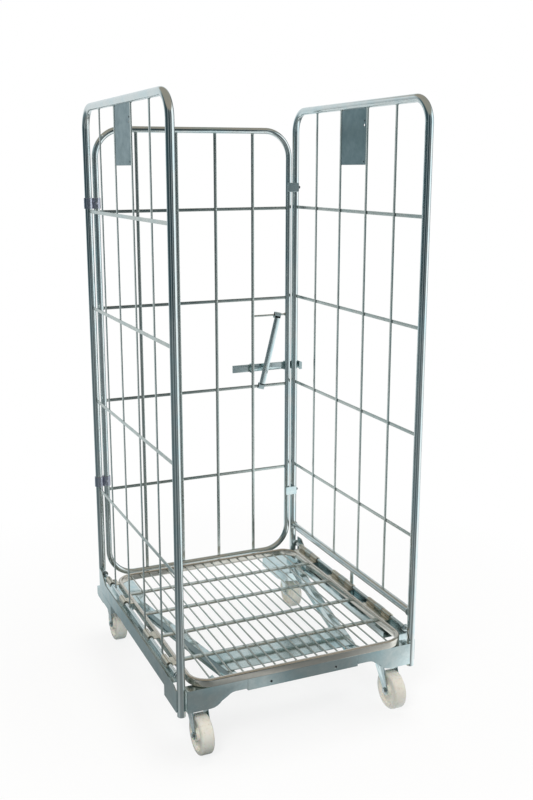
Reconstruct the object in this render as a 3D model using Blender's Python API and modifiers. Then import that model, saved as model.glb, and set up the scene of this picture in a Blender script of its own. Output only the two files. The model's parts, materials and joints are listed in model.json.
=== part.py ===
"""Nestable roll cage container: two tubular side panels, a double-hinged rear gate with a
slide latch, a wire deck that folds up, a pressed base and four swivel casters.

Metres, +Z up. The origin is on the ground under the middle of the cage and the open front faces -Y.
"""

import math

import bmesh
import bpy
from mathutils import Euler, Matrix, Vector

# ---- Driving dimensions ----
HEIGHT = 1.690
GAP = 0.0003
WELD = 0.0006

TUBE_R = 0.011
GATE_TUBE_R = 0.0095
STRIP_WIDTH = 0.010
STRIP_SHEET = 0.003
PANEL_X = 0.345
UPRIGHT_Y = 0.3875
TOP_Z = HEIGHT - TUBE_R
PANEL_BEND = 0.065
FRONT_FOOT_Z = 0.119
REAR_FOOT_Z = 0.137
PANEL_BARS_Z = [1.380 - 0.292 * row for row in range(4)]
PANEL_STRIPS_Y = [UPRIGHT_Y * (0.6 - 0.4 * column) for column in range(4)]
LABEL_HEIGHT = 0.155
LABEL_THICKNESS = 0.0015
LABEL_HOLE = (-0.060, 1.622)
LABEL_HOLE_R = 0.0035

RODS_Z = 0.220
ROD_R = 0.005
LOWER_TUBE_Z = 0.279
POST_X = (0.3532, 0.3560)
POST_Y = (-0.034, -0.016)
POST_TOP_Z = 0.2712

DECK_X = 0.320
DECK_FRONT_Y = -0.410
DECK_REAR_Y = 0.340
DECK_LOW_Z = 0.195
DECK_TOP_Z = 0.217
DECK_SECTION = 0.012
DECK_CORNER = 0.060
DECK_WIRE_R = 0.0023
DECK_WIRES = 18
DECK_WIRE_PITCH = 0.0312
DECK_WIRE_CLEAR = 0.0020
DECK_STRIPS_Y = [0.203 - 0.1535 * row for row in range(4)]
DECK_STRIP_WIDTH = 0.020
DECK_STRIP_Z = 0.205
SHEET = 0.003
RING_WORDS = ("rear", "middle", "front")
RINGS_Y = (0.255, 0.0125, -0.215)
RING_R = 0.0085
RING_HALF = 0.020
BARREL_LENGTH = 0.045
BARREL_R = 0.0078
HOOKS_Y = (0.290, 0.138, -0.108, -0.272)
HOOK_LENGTH = 0.050

GATE_X = 0.3205
GATE_LOW_Z = 0.200
GATE_TOP_Z = 1.620
GATE_BEND = 0.085
GATE_BARS_Z = [1.377 - 0.2935 * row for row in range(4)]
GATE_STRIPS_X = [GATE_X * (-0.6 + 0.4 * column) for column in range(4)]
GATE_BAR_Y = UPRIGHT_Y + (STRIP_SHEET - WELD) / 2
SHORT_BAR_Z = 1.027
SHORT_BAR_R = 0.0032
SHORT_BAR_Y = UPRIGHT_Y + SHORT_BAR_R - WELD / 2
STRAPS_Z = (1.403, 0.527)
STRAP_HEIGHT = 0.032
STOPS_Z = (1.443, 0.409)
STOP_X = (0.312, 0.352)
STOP_HEIGHT = 0.029

LATCH_Z = 0.851
LATCH_HEIGHT = 0.025
LATCH_Y = 0.400
LATCH_START_X = 0.125
LATCH_TIP_X = 0.3677
LATCH_LIP = 0.011
LATCH_LIP_Y = 0.3718
STUD_FRONT_Y = 0.3795
LEVER_PIVOT_X = 0.223
LEVER_TOP_X = 0.283
LEVER_Y = 0.3845
LEVER_HALF_WIDTH = 0.0105
LEVER_RISE = SHORT_BAR_Z - GATE_BARS_Z[2]
LEVER_TILT = math.atan2(LEVER_TOP_X - LEVER_PIVOT_X, LEVER_RISE)
STUD_X = LEVER_PIVOT_X + (LATCH_Z - GATE_BARS_Z[2]) * math.tan(LEVER_TILT)

RAIL_X = 0.358
RAIL_LOW_Z = 0.161
RAIL_TOP_Z = 0.205
RAIL_LIP_Z = 0.180
RAIL_EAR_Z = 0.236
RAIL_EAR_Y = (0.305, 0.345)
RAIL_INNER_X = 0.315
RAIL_FRONT_Y = -0.2895
RAIL_REAR_Y = 0.374
PLATE_Z = 0.132
FRONT_RAIL_HALF = 0.165
DIAGONAL_X = (0.1768, 0.2970)
DIAGONAL_Y = (-0.379, 0.272)
DIAGONAL_HEIGHT = 0.025
FRONT_FACE_Y = -0.405
REAR_FACE_Y = 0.410
TUBE_SIDE_X = PANEL_X - TUBE_R - GAP
CAP_TOP_Z = RAIL_LOW_Z - GAP
CAP_INNER_X = 0.238
CAP_FRONT_Y = 0.245
CAP_CORNER = 0.050

CASTERS = {
    "front_left": (-0.289, -0.349),
    "front_right": (0.289, -0.349),
    "rear_left": (-0.314, 0.371),
    "rear_right": (0.314, 0.371),
}
WHEEL_R = 0.054
WHEEL_HALF_WIDTH = 0.0180
HUB_HALF_WIDTH = 0.0192
WEB_HALF_WIDTH = 0.010
CASTER_TRAIL = 0.036
AXLE_R = 0.0045
SLEEVE_R = 0.0070
LEG_INNER_X = 0.020
LEG_THICKNESS = 0.003


# ---- Scene ----
for old in list(bpy.data.objects):
    bpy.data.objects.remove(old)
PARTS = bpy.data.collections.new("roll_cage_container")
CUTTERS = bpy.data.collections.new("cutters")
for collection in (PARTS, CUTTERS):
    bpy.context.scene.collection.children.link(collection)


def material(name, colour, roughness, metallic):
    made = bpy.data.materials.new(name)
    made.use_nodes = True
    shader = made.node_tree.nodes["Principled BSDF"]
    shader.inputs["Base Color"].default_value = (*colour, 1.0)
    shader.inputs["Roughness"].default_value = roughness
    shader.inputs["Metallic"].default_value = metallic
    return made


ZINC = material("zinc_tube", (0.62, 0.70, 0.74), 0.28, 1.0)
WIRE = material("zinc_wire", (0.66, 0.72, 0.73), 0.35, 1.0)
PRESSED = material("zinc_pressing", (0.60, 0.70, 0.75), 0.38, 1.0)
DECK_ZINC = material("deck_zinc", (0.68, 0.66, 0.60), 0.40, 1.0)
KNUCKLE = material("passivated_knuckle", (0.62, 0.56, 0.42), 0.35, 1.0)
LABEL = material("label_plate", (0.42, 0.52, 0.54), 0.45, 0.8)
STRAP = material("hinge_strap", (0.66, 0.68, 0.76), 0.45, 0.7)
NYLON = material("nylon", (0.90, 0.87, 0.78), 0.45, 0.0)


# ---- Shape helpers ----
def put(obj, finish=None):
    PARTS.objects.link(obj)
    if finish is not None:
        obj.data.materials.append(finish)
    return obj


def smooth(mesh):
    mesh.shade_smooth()
    mesh.set_sharp_from_angle(angle=math.radians(35))


def hide_as_cutter(obj):
    for collection in list(obj.users_collection):
        collection.objects.unlink(obj)
    CUTTERS.objects.link(obj)
    obj.hide_render = True
    obj.display_type = "WIRE"
    return obj


def block(name, low, high, finish=None):
    """A box between two corners, with its origin at its middle."""
    low, high = Vector(low), Vector(high)
    bm = bmesh.new()
    bmesh.ops.create_cube(bm, size=1.0)
    bmesh.ops.scale(bm, vec=high - low, verts=bm.verts)
    mesh = bpy.data.meshes.new(name)
    bm.to_mesh(mesh)
    bm.free()
    obj = bpy.data.objects.new(name, mesh)
    obj.location = (low + high) / 2
    return put(obj, finish=finish)


def rods(name, ends, radius, sides=16, finish=None):
    """Straight round bars, each between two points, in one mesh."""
    bm = bmesh.new()
    for start, end in ends:
        start, end = Vector(start), Vector(end)
        turn = (end - start).to_track_quat("Z", "Y").to_matrix().to_4x4()
        bmesh.ops.create_cone(
            bm,
            cap_ends=True,
            segments=sides,
            radius1=radius,
            radius2=radius,
            depth=(end - start).length,
            matrix=Matrix.Translation((start + end) / 2) @ turn,
        )
    mesh = bpy.data.meshes.new(name)
    bm.to_mesh(mesh)
    bm.free()
    smooth(mesh)
    return put(bpy.data.objects.new(name, mesh), finish=finish)


def arc(centre, radius, start, end, steps=6):
    """Points round a circle in its plane, from one angle in degrees to another."""
    angles = [math.radians(start + (end - start) * i / steps) for i in range(steps + 1)]
    return [(centre[0] + radius * math.cos(a), centre[1] + radius * math.sin(a)) for a in angles]


def rounded_rectangle(low, high, radius, steps=6):
    """A rectangle's outline with round corners, anticlockwise."""
    centres = (
        (high[0] - radius, high[1] - radius),
        (low[0] + radius, high[1] - radius),
        (low[0] + radius, low[1] + radius),
        (high[0] - radius, low[1] + radius),
    )
    points = []
    for quarter, centre in enumerate(centres):
        points += arc(centre, radius, 90 * quarter, 90 * quarter + 90, steps)
    return points


def curve_to_mesh(curve_object, name, finish):
    """The curve object as a mesh object with welded caps."""
    bpy.context.view_layer.update()
    graph = bpy.context.evaluated_depsgraph_get()
    mesh = bpy.data.meshes.new_from_object(curve_object.evaluated_get(graph))
    place = curve_object.matrix_world.copy()
    data = curve_object.data
    bpy.data.objects.remove(curve_object)
    bpy.data.curves.remove(data)
    bm = bmesh.new()
    bm.from_mesh(mesh)
    bmesh.ops.remove_doubles(bm, verts=bm.verts, dist=0.00001)
    bmesh.ops.recalc_face_normals(bm, faces=bm.faces)
    bm.to_mesh(mesh)
    bm.free()
    smooth(mesh)
    mesh.name = name
    mesh.materials.clear()
    obj = bpy.data.objects.new(name, mesh)
    obj.matrix_world = place
    return put(obj, finish=finish)


PLANES = {
    "XY": Euler((0, 0, 0)),
    "XZ": Euler((math.pi / 2, 0, 0)),
    "YZ": Euler((math.pi / 2, 0, math.pi / 2)),
}
NORMALS = {"XY": Vector((0, 0, 1)), "XZ": Vector((0, 1, 0)), "YZ": Vector((1, 0, 0))}


def plate(name, plane, outlines, low, high, finish=None, turn=None):
    """Flat outlines, the later ones holes, filled from low to high along their plane's normal."""
    curve = bpy.data.curves.new(name, "CURVE")
    curve.dimensions = "2D"
    curve.fill_mode = "BOTH"
    curve.extrude = (high - low) / 2
    for outline in outlines:
        spline = curve.splines.new("POLY")
        spline.points.add(len(outline) - 1)
        for point, (u, v) in zip(spline.points, outline):
            point.co = (u, v, 0, 1)
        spline.use_cyclic_u = True
    obj = bpy.data.objects.new(name + "_outline", curve)
    middle = Matrix.Translation(NORMALS[plane] * (low + high) / 2)
    obj.matrix_world = middle @ PLANES[plane].to_matrix().to_4x4()
    if turn is not None:
        obj.matrix_world = turn @ obj.matrix_world
    PARTS.objects.link(obj)
    return curve_to_mesh(obj, name, finish)


def bent_path(corners, radius, closed=False, steps=6):
    """A 3-D path through corners, each inner one rounded to the given radius."""
    corners = [Vector(corner) for corner in corners]
    path = []
    for index, corner in enumerate(corners):
        if not closed and index in (0, len(corners) - 1):
            path.append(corner)
            continue
        before = (corners[index - 1] - corner).normalized()
        after = (corners[(index + 1) % len(corners)] - corner).normalized()
        centre = corner + (before + after) * radius
        for step in range(steps + 1):
            angle = math.pi / 2 * step / steps
            path.append(centre - after * radius * math.cos(angle) - before * radius * math.sin(angle))
    return path


def tube(name, path, radius, closed=False, sides=12, finish=None):
    """A round bar or tube along a path."""
    curve = bpy.data.curves.new(name, "CURVE")
    curve.dimensions = "3D"
    curve.bevel_depth = radius
    curve.bevel_resolution = (sides - 4) // 2
    curve.use_fill_caps = not closed
    spline = curve.splines.new("POLY")
    spline.points.add(len(path) - 1)
    for point, place in zip(spline.points, path):
        point.co = (*place, 1)
    spline.use_cyclic_u = closed
    obj = bpy.data.objects.new(name + "_path", curve)
    PARTS.objects.link(obj)
    return curve_to_mesh(obj, name, finish)


def combine(obj, others, operation):
    for other in others:
        modifier = obj.modifiers.new(f"{operation.lower()}_{other.name}", "BOOLEAN")
        modifier.operation = operation
        modifier.object = hide_as_cutter(other)
    return obj


def united(obj, *others):
    """One solid from pieces that overlap, as a weld or one pressing."""
    return combine(obj, others, "UNION")


def cut(obj, *others):
    return combine(obj, others, "DIFFERENCE")


def pivot(name, place, parent=None):
    """An empty on a joint's axis."""
    empty = bpy.data.objects.new(name, None)
    empty.empty_display_size = 0.05
    empty.location = place
    PARTS.objects.link(empty)
    if parent is not None:
        hang(empty, parent)
    return empty


def world_place(empty):
    place = empty.location.copy()
    if empty.parent is not None:
        place += world_place(empty.parent) + empty.matrix_parent_inverse.translation
    return place


def hang(child, empty):
    """Parent to an empty without moving the child."""
    child.parent = empty
    child.matrix_parent_inverse = Matrix.Translation(-world_place(empty))


def hang_all(children, empty):
    for child in children:
        hang(child, empty)
        for modifier in child.modifiers:
            if modifier.type == "BOOLEAN":
                hang(modifier.object, empty)


# ---- Side panels ----
def side_panel(side, word, strips_low_z):
    """One fixed side: a bent tube with its mesh of flat strips and its label plate."""
    x = side * PANEL_X
    corners = (
        (x, -UPRIGHT_Y, FRONT_FOOT_Z),
        (x, -UPRIGHT_Y, TOP_Z),
        (x, UPRIGHT_Y, TOP_Z),
        (x, UPRIGHT_Y, REAR_FOOT_Z),
    )
    tube(f"{word}_panel_frame", bent_path(corners, PANEL_BEND), TUBE_R, sides=14, finish=ZINC)

    outer = sorted((x - side * WELD / 2, x + side * (STRIP_SHEET - WELD / 2)))
    inner = sorted((x + side * WELD / 2, x - side * (STRIP_SHEET - WELD / 2)))
    reach = UPRIGHT_Y - TUBE_R - GAP
    under_top = TOP_Z - TUBE_R - GAP
    half_width = STRIP_WIDTH / 2
    strips = []
    for row, z in enumerate(PANEL_BARS_Z):
        low, high = (outer[0], -reach, z - half_width), (outer[1], reach, z + half_width)
        name = f"{word}_panel_mesh" if row == 0 else f"{word}_panel_row_{row}"
        strips.append(block(name, low, high, WIRE))
    for column, y in enumerate(PANEL_STRIPS_Y):
        low, high = (inner[0], y - half_width, strips_low_z), (inner[1], y + half_width, under_top)
        strips.append(block(f"{word}_panel_column_{column}", low, high))
    united(*strips)

    half = PANEL_STRIPS_Y[1] - half_width - GAP
    bottom = under_top - LABEL_HEIGHT
    outline = [(-half, bottom), (half, bottom), (half, under_top), (-half, under_top)]
    hole = arc(LABEL_HOLE, LABEL_HOLE_R, 0, 330, steps=11)
    low = sum(inner) / 2 - LABEL_THICKNESS / 2
    plate(f"{word}_label_plate", "YZ", [outline, hole], low, low + LABEL_THICKNESS, LABEL)


def lower_side_tube():
    """The right panel's bottom tube, and the post that ties it to the base."""
    reach = UPRIGHT_Y - TUBE_R - GAP
    ends = [((PANEL_X, -reach, LOWER_TUBE_Z), (PANEL_X, reach, LOWER_TUBE_Z))]
    rods("right_panel_lower_tube", ends, TUBE_R, sides=14, finish=ZINC)
    foot = RAIL_LOW_Z + SHEET + GAP
    block("right_panel_post", (POST_X[0], POST_Y[0], foot), (POST_X[1], POST_Y[1], POST_TOP_Z), PRESSED)


# ---- Base ----
def side_rail(side, word):
    """A pressed channel along one side, open upwards, with a raised rear end."""
    outline = [
        (RAIL_FRONT_Y, RAIL_LOW_Z),
        (RAIL_REAR_Y, RAIL_LOW_Z),
        (RAIL_REAR_Y, RAIL_EAR_Z),
        (RAIL_EAR_Y[1], RAIL_EAR_Z),
        (RAIL_EAR_Y[0], RAIL_TOP_Z),
        (RAIL_FRONT_Y, RAIL_TOP_Z),
    ]
    centre = side * RAIL_X
    web = plate(f"{word}_side_rail", "YZ", [outline], centre - SHEET / 2, centre + SHEET / 2, PRESSED)
    inner, outer = sorted((side * RAIL_INNER_X, side * (RAIL_X - WELD)))
    floor_top = RAIL_LOW_Z + SHEET
    corners = (inner, RAIL_FRONT_Y, RAIL_LOW_Z), (outer, RAIL_REAR_Y, floor_top)
    flange = block(f"{word}_rail_flange", *corners)
    near, far = sorted((side * RAIL_INNER_X, side * (RAIL_INNER_X + SHEET)))
    lip = block(f"{word}_rail_lip", (near, RAIL_FRONT_Y, RAIL_LOW_Z), (far, RAIL_REAR_Y, RAIL_LIP_Z))
    united(web, flange, lip)


def corner_wing(side, word):
    """A pressed front corner, notched for the upright: its floor carries a caster."""
    top = DECK_LOW_Z - 0.001
    shoulder = arc((0.200, 0.137), 0.030, 90, 45, steps=3)
    sweep = arc((0.2703, 0.1717), 0.0397, 217, 270, steps=4)
    face_outline = [(side * u, v) for u, v in (
        [(FRONT_RAIL_HALF + GAP, top), (FRONT_RAIL_HALF + GAP, 0.167)]
        + shoulder
        + sweep
        + [(TUBE_SIDE_X, PLATE_Z), (TUBE_SIDE_X, top)]
    )]
    face = plate(f"{word}_front_corner", "XZ", [face_outline], FRONT_FACE_Y, FRONT_FACE_Y + SHEET, PRESSED)
    under = [shoulder[-1], *sweep, (RAIL_X + SHEET / 2, PLATE_Z)]
    above = [(u, v + SHEET) for u, v in reversed(under)]
    floor_outline = [(side * u, v) for u, v in under + above]
    rear_y = RAIL_FRONT_Y - GAP
    floor = plate(f"{word}_corner_floor", "XZ", [floor_outline], FRONT_FACE_Y + WELD, rear_y)
    near, far = sorted((side * (FRONT_RAIL_HALF + GAP), side * TUBE_SIDE_X))
    edge_low = (near, FRONT_FACE_Y + WELD, top - SHEET)
    edge = block(f"{word}_corner_edge", edge_low, (far, FRONT_FACE_Y + 0.030, top))
    web_x = side * RAIL_X
    web_outline = [
        (-UPRIGHT_Y, PLATE_Z + WELD),
        (RAIL_FRONT_Y - GAP, PLATE_Z + WELD),
        (RAIL_FRONT_Y - GAP, RAIL_TOP_Z),
        (-0.370, 0.200),
        (-UPRIGHT_Y, top),
    ]
    web = plate(f"{word}_corner_web", "YZ", [web_outline], web_x - SHEET / 2, web_x + SHEET / 2)
    united(face, floor, edge, web)
    near, far = sorted((side * TUBE_SIDE_X, side * 0.370))
    notch = block(f"{word}_corner_notch", (near, -0.42, 0.10), (far, -UPRIGHT_Y, 0.25))
    foot = ((side * PANEL_X, -UPRIGHT_Y, 0.10), (side * PANEL_X, -UPRIGHT_Y, 0.25))
    cut(face, notch, rods(f"{word}_foot_hole", [foot], TUBE_R + GAP, sides=14))


def cap_outline(side, inset):
    """A rear cap seen from above, with its inner front corner rounded."""
    outer_x = RAIL_X + SHEET / 2 - inset
    centre = (CAP_INNER_X + CAP_CORNER, CAP_FRONT_Y + CAP_CORNER)
    points = [(outer_x, REAR_FACE_Y - inset), (CAP_INNER_X + inset, REAR_FACE_Y - inset)]
    points += arc(centre, CAP_CORNER - inset, 180, 270, steps=6)
    points.append((outer_x, CAP_FRONT_Y + inset))
    return [(side * u, v) for u, v in points]


def rear_housing(side, word):
    """A pressed cap over each rear caster, open below, with a hole for the upright's foot."""
    cap = plate(f"{word}_rear_corner", "XY", [cap_outline(side, 0)], PLATE_Z, CAP_TOP_Z, PRESSED)
    inside = plate(f"{word}_cap_hollow", "XY", [cap_outline(side, SHEET)], 0.10, CAP_TOP_Z - SHEET)
    foot = ((side * PANEL_X, UPRIGHT_Y, 0.10), (side * PANEL_X, UPRIGHT_Y, 0.25))
    cut(cap, inside, rods(f"{word}_rear_foot_hole", [foot], TUBE_R + GAP, sides=14))


def diagonal(side, word):
    """A hat-section bar from a rear corner to the front rail, closer in at the front for nesting."""
    half, flange, height, sheet = 0.0105, 0.0165, DIAGONAL_HEIGHT, 0.0025
    outline = [
        (-flange, 0),
        (-half + sheet, 0),
        (-half + sheet, height - sheet),
        (half - sheet, height - sheet),
        (half - sheet, 0),
        (flange, 0),
        (flange, sheet),
        (half, sheet),
        (half, height),
        (-half, height),
        (-half, sheet),
        (-flange, sheet),
    ]
    front = Vector((side * DIAGONAL_X[0], DIAGONAL_Y[0], RAIL_LOW_Z))
    rear = Vector((side * DIAGONAL_X[1], DIAGONAL_Y[1], RAIL_LOW_Z))
    angle = math.atan2(front.x - rear.x, rear.y - front.y)
    turn = Matrix.Translation((front + rear) / 2) @ Matrix.Rotation(angle, 4, "Z")
    half_length = (rear - front).length / 2
    plate(f"{word}_base_diagonal", "XZ", [outline], -half_length, half_length, PRESSED, turn=turn)


def front_rail():
    """The pressed channel under the deck's front edge, with two holes."""
    top = DECK_LOW_Z - 0.001
    y = FRONT_FACE_Y
    outline = [
        (y, RAIL_LOW_Z),
        (y + 0.020, RAIL_LOW_Z),
        (y + 0.020, RAIL_LOW_Z + SHEET),
        (y + SHEET, RAIL_LOW_Z + SHEET),
        (y + SHEET, top - SHEET),
        (y + 0.030, top - SHEET),
        (y + 0.030, top),
        (y, top),
    ]
    rail = plate("front_rail", "YZ", [outline], -FRONT_RAIL_HALF, FRONT_RAIL_HALF, PRESSED)
    holes = [((x, y - 0.01, 0.173), (x, y + 0.012, 0.173)) for x in (-0.097, 0.097)]
    cut(rail, rods("front_rail_holes", holes, 0.0035, sides=12))


def cross_plate():
    """The plate that ties the diagonals near the front, with a turned-down rear edge."""
    low = RAIL_LOW_Z + DIAGONAL_HEIGHT + GAP
    outline = [(-0.196, -0.335), (0.196, -0.335), (0.218, -0.215), (-0.218, -0.215)]
    sheet = plate("front_cross_plate", "XY", [outline], low, low + SHEET, PRESSED)
    united(sheet, block("cross_plate_lip", (-0.184, -0.218, 0.168), (0.184, -0.215, low + WELD)))


def base_rings():
    """Three eyes on the right side rail that hold the deck's hinge rod."""
    for word, y in zip(RING_WORDS, RINGS_Y):
        ring = rods(
            f"{word}_hinge_ring",
            [((PANEL_X, y - RING_HALF, RODS_Z), (PANEL_X, y + RING_HALF, RODS_Z))],
            RING_R,
            sides=16,
            finish=WIRE,
        )
        low = (PANEL_X - 0.0045, y - RING_HALF + 0.004, RAIL_LOW_Z + SHEET + GAP)
        high = (PANEL_X + 0.0045, y + RING_HALF - 0.004, RODS_Z - 0.004)
        united(ring, block(f"{word}_ring_leg", low, high))
        bore = ((PANEL_X, y - 0.05, RODS_Z), (PANEL_X, y + 0.05, RODS_Z))
        cut(ring, rods(f"{word}_ring_bore", [bore], ROD_R + GAP, sides=16))


def deck_rods():
    """The left rod that the deck's hooks rest on, and the right rod that it hinges on."""
    reach = UPRIGHT_Y - TUBE_R - GAP
    for side, name in ((-1, "left_deck_rod"), (1, "right_hinge_rod")):
        x = side * PANEL_X
        rods(name, [((x, -reach, RODS_Z), (x, reach, RODS_Z))], ROD_R, sides=16, finish=ZINC)


# ---- Deck ----
def deck():
    outer = rounded_rectangle((-DECK_X, DECK_FRONT_Y), (DECK_X, DECK_REAR_Y), DECK_CORNER)
    inner = rounded_rectangle(
        (-DECK_X + DECK_SECTION, DECK_FRONT_Y + DECK_SECTION),
        (DECK_X - DECK_SECTION, DECK_REAR_Y - DECK_SECTION),
        DECK_CORNER - DECK_SECTION,
    )
    pieces = [plate("deck_frame", "XY", [outer, inner], DECK_LOW_Z, DECK_TOP_Z, DECK_ZINC)]

    wire_z = DECK_STRIP_Z + SHEET + DECK_WIRE_R - WELD
    front = DECK_FRONT_Y + DECK_SECTION + DECK_WIRE_CLEAR
    rear = DECK_REAR_Y - DECK_SECTION - DECK_WIRE_CLEAR
    first = -DECK_WIRE_PITCH * (DECK_WIRES - 1) / 2
    places = [first + DECK_WIRE_PITCH * index for index in range(DECK_WIRES)]
    wires = [((x, front, wire_z), (x, rear, wire_z)) for x in places]
    reach = DECK_X - DECK_SECTION - GAP
    strips = [
        block(
            f"deck_strip_{row}",
            (-reach, y - DECK_STRIP_WIDTH / 2, DECK_STRIP_Z),
            (reach, y + DECK_STRIP_WIDTH / 2, DECK_STRIP_Z + SHEET),
        )
        for row, y in enumerate(DECK_STRIPS_Y)
    ]
    pieces.append(united(rods("deck_mesh", wires, DECK_WIRE_R, sides=6, finish=WIRE), *strips))
    pieces += [deck_knuckle(word, y) for word, y in zip(RING_WORDS, RINGS_Y)]
    pieces += [deck_hook(number, y) for number, y in enumerate(HOOKS_Y, start=1)]
    hang_all(pieces, pivot("deck_fold_axis", (PANEL_X, 0, RODS_Z)))


def deck_knuckle(word, y):
    """A leaf on the deck's right edge with a barrel on each side of a base ring."""
    inner = RING_HALF + GAP + 0.0005
    outer = inner + BARREL_LENGTH
    x_near = DECK_X + GAP
    leaf = block(f"{word}_deck_knuckle", (x_near, y - outer, 0.2085), (0.3375, y + outer, 0.2122), KNUCKLE)
    axis = [((PANEL_X, y + s * inner, RODS_Z), (PANEL_X, y + s * outer, RODS_Z)) for s in (-1, 1)]
    barrels = rods(f"{word}_knuckle_barrels", axis, BARREL_R, sides=16)
    tabs = []
    for s, end in ((-1, "front"), (1, "rear")):
        low, high = sorted((y + s * (inner + WELD), y + s * (outer - WELD)))
        tabs.append(block(f"{word}_{end}_tab", (0.3365, low, 0.2087), (PANEL_X, high, 0.2150)))
    united(leaf, barrels, *tabs)
    bore = ((PANEL_X, y - 0.10, RODS_Z), (PANEL_X, y + 0.10, RODS_Z))
    return cut(leaf, rods(f"{word}_knuckle_bore", [bore], ROD_R + GAP, sides=16))


def deck_hook(number, y):
    """A half pipe, open below, that drops over the left rod."""
    low_z = RODS_Z - 0.006
    outside, inside = 0.0088, 0.0058
    outline = (
        [(-PANEL_X + outside, low_z)]
        + arc((-PANEL_X, RODS_Z), outside, 0, 180, steps=8)
        + [(-PANEL_X - outside, low_z), (-PANEL_X - inside, low_z)]
        + arc((-PANEL_X, RODS_Z), inside, 180, 0, steps=8)
        + [(-PANEL_X + inside, low_z)]
    )
    hook = plate(f"deck_hook_{number}", "XZ", [outline], y - HOOK_LENGTH / 2, y + HOOK_LENGTH / 2, KNUCKLE)
    low = (-PANEL_X + inside + WELD, y - HOOK_LENGTH / 2 + 0.003, 0.2140)
    high = (-DECK_X - GAP, y + HOOK_LENGTH / 2 - 0.003, 0.2165)
    return united(hook, block(f"deck_hook_{number}_leaf", low, high))


# ---- Rear gate ----
def hinge_straps():
    """Figure-of-eight links round the rear left upright and the gate's own left upright."""
    pieces = []
    for word, z in zip(("upper", "lower"), STRAPS_Z):
        low, high = z - STRAP_HEIGHT / 2, z + STRAP_HEIGHT / 2
        post = ((-PANEL_X, UPRIGHT_Y, low), (-PANEL_X, UPRIGHT_Y, high))
        stile = ((-GATE_X, UPRIGHT_Y, low), (-GATE_X, UPRIGHT_Y, high))
        strap = rods(f"{word}_hinge_strap", [post], TUBE_R + 0.0028, sides=20, finish=STRAP)
        united(strap, rods(f"{word}_strap_gate_ring", [stile], GATE_TUBE_R + 0.0028, sides=20))
        long_post = ((-PANEL_X, UPRIGHT_Y, low - 0.01), (-PANEL_X, UPRIGHT_Y, high + 0.01))
        long_stile = ((-GATE_X, UPRIGHT_Y, low - 0.01), (-GATE_X, UPRIGHT_Y, high + 0.01))
        cut(
            strap,
            rods(f"{word}_strap_post_bore", [long_post], TUBE_R + GAP, sides=20),
            rods(f"{word}_strap_stile_bore", [long_stile], GATE_TUBE_R + GAP, sides=20),
        )
        pieces.append(strap)
    return pieces


def gate():
    """The gate's tube frame and mesh, and the brackets that guide its latch bar."""
    corners = (
        (GATE_X, UPRIGHT_Y, GATE_TOP_Z),
        (-GATE_X, UPRIGHT_Y, GATE_TOP_Z),
        (-GATE_X, UPRIGHT_Y, GATE_LOW_Z),
        (GATE_X, UPRIGHT_Y, GATE_LOW_Z),
    )
    path = bent_path(corners, GATE_BEND, closed=True)
    frame = tube("gate_frame", path, GATE_TUBE_R, closed=True, finish=ZINC)

    half_width = STRIP_WIDTH / 2
    reach = GATE_X - GATE_TUBE_R - GAP
    strips = []
    for row, z in enumerate(GATE_BARS_Z):
        low = (-reach, UPRIGHT_Y - WELD / 2, z - half_width)
        high = (reach, UPRIGHT_Y + STRIP_SHEET - WELD / 2, z + half_width)
        strips.append(block("gate_mesh" if row == 0 else f"gate_row_{row}", low, high, WIRE))
    for column, x in enumerate(GATE_STRIPS_X):
        low = (x - half_width, UPRIGHT_Y - STRIP_SHEET + WELD / 2, GATE_LOW_Z + GATE_TUBE_R + GAP)
        high = (x + half_width, UPRIGHT_Y + WELD / 2, GATE_TOP_Z - GATE_TUBE_R - GAP)
        strips.append(block(f"gate_column_{column}", low, high))
    short = ((GATE_STRIPS_X[3] - 0.003, SHORT_BAR_Y, SHORT_BAR_Z), (reach, SHORT_BAR_Y, SHORT_BAR_Z))
    strips.append(rods("gate_short_bar", [short], SHORT_BAR_R, sides=12))
    mesh = united(*strips)
    guide = latch_bracket("latch_guide", GATE_X, 0.008, UPRIGHT_Y + GATE_TUBE_R + GAP)
    staple = latch_bracket("latch_staple", GATE_STRIPS_X[3], 0.004, UPRIGHT_Y + 2 * GAP)
    return [frame, mesh, guide, staple]


def latch_bracket(name, x, half_width, front_y):
    """A bridge round the back of the latch bar."""
    clear = 0.0008
    low_z = LATCH_Z - LATCH_HEIGHT / 2 - clear
    high_z = LATCH_Z + LATCH_HEIGHT / 2 + clear
    back_y = LATCH_Y + SHEET + clear
    outline = [
        (front_y, low_z - 0.002),
        (back_y + 0.002, low_z - 0.002),
        (back_y + 0.002, high_z + 0.002),
        (front_y, high_z + 0.002),
        (front_y, high_z),
        (back_y, high_z),
        (back_y, low_z),
        (front_y, low_z),
    ]
    return plate(name, "YZ", [outline], x - half_width, x + half_width, PRESSED)


def gate_stops():
    """Plates on the rear right upright that the gate closes against."""
    front = UPRIGHT_Y - TUBE_R - GAP - SHEET
    for word, z in zip(("upper", "lower"), STOPS_Z):
        low, high = z - STOP_HEIGHT / 2, z + STOP_HEIGHT / 2
        outline = rounded_rectangle((STOP_X[0], low), (STOP_X[1], high), 0.004, steps=3)
        plate(f"{word}_gate_stop", "XZ", [outline], front, front + SHEET, PRESSED)


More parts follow.
